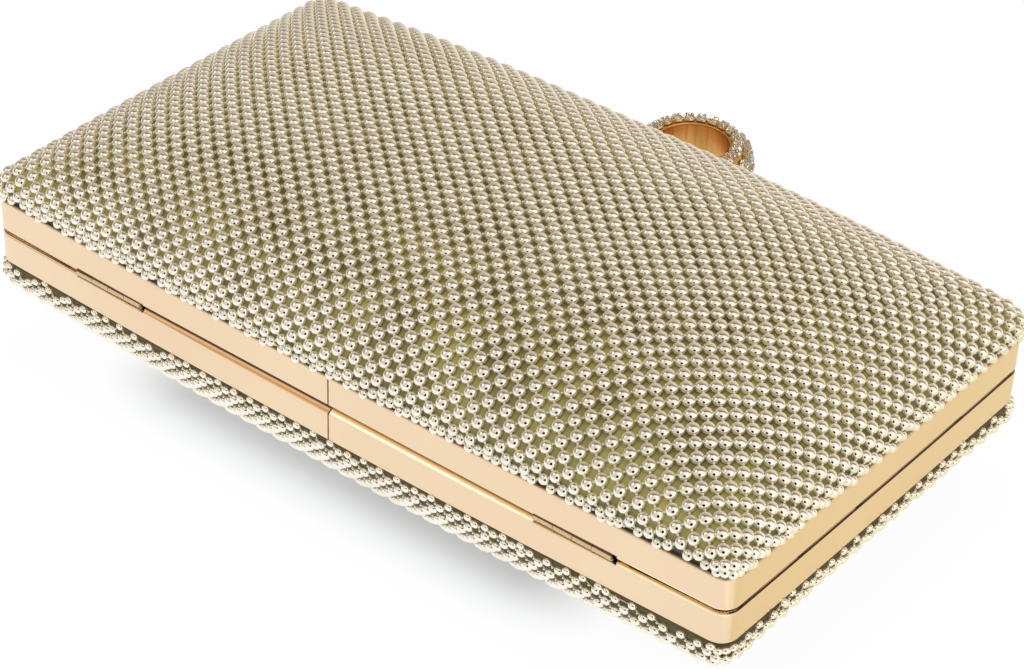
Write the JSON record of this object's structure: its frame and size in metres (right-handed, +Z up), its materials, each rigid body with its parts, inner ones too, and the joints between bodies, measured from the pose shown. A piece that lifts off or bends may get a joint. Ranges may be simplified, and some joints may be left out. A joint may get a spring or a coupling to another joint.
{
  "type": "minaudiere",
  "caption": "Rigid evening clutch: two pillow-shaped halves under bead mesh on a hinged metal frame, with a stone-set finger ring that is also the clasp",
  "frame": {"origin": "centre of the flat on the crown of the base half, which the bag lies on", "axes": "+X along the hinge, +Y from the hinge to the clasp, +Z up through the closed bag"},
  "size_m": [0.2034, 0.1419, 0.0655],
  "materials": {
    "frame_metal": "polished champagne gold",
    "inner_brass": "satin",
    "pan_plastic": "moulded, olive",
    "bead_metal": "polished champagne silver",
    "lining_satin": "satin weave",
    "spring_steel": "brushed",
    "clasp_gold": "polished gold",
    "stone_glass": "cut and polished"
  },
  "bodies": {
    "base": {"base_frame": "frame_metal", "base_pan": "pan_plastic", "base_bead_mesh": "bead_metal", "base_lining": "lining_satin", "base_splice_plate": "inner_brass", "locating_lips": "inner_brass", "left_hinge_base_leaf": "frame_metal", "right_hinge_base_leaf": "frame_metal", "left_hinge_pin": "spring_steel", "right_hinge_pin": "spring_steel", "base_hinge_screws": "spring_steel", "catch_spring": "spring_steel", "catch_screws": "spring_steel"},
    "lid": {"lid_frame": "frame_metal", "lid_pan": "pan_plastic", "lid_bead_mesh": "bead_metal", "lid_lining": "lining_satin", "lid_splice_plate": "inner_brass", "left_hinge_lid_leaf": "frame_metal", "right_hinge_lid_leaf": "frame_metal", "lid_hinge_screws": "spring_steel", "clasp_bracket": "clasp_gold", "bracket_rivets": "clasp_gold", "clasp_pin": "spring_steel", "clasp_spring": "spring_steel"},
    "clasp": {"clasp_lever": "clasp_gold", "clasp_ring": "clasp_gold", "ring_stones": "stone_glass"}
  },
  "joints": [
    {"name": "lid_hinge", "type": "hinge", "parent": "base", "child": "lid", "pos_m": [0, -0.05354, 0.03255], "axis": [1, 0, 0], "range_deg": [0, 80], "deforming": ["catch_spring"]},
    {"name": "ring_clasp", "type": "hinge", "parent": "lid", "child": "clasp", "pos_m": [0, 0.0576, 0.03635], "axis": [1, 0, 0], "range_deg": [0, 20], "stiffness_Nm_per_rad": 0.02, "springref_deg": -14.32, "deforming": ["clasp_spring"]}
  ]
}
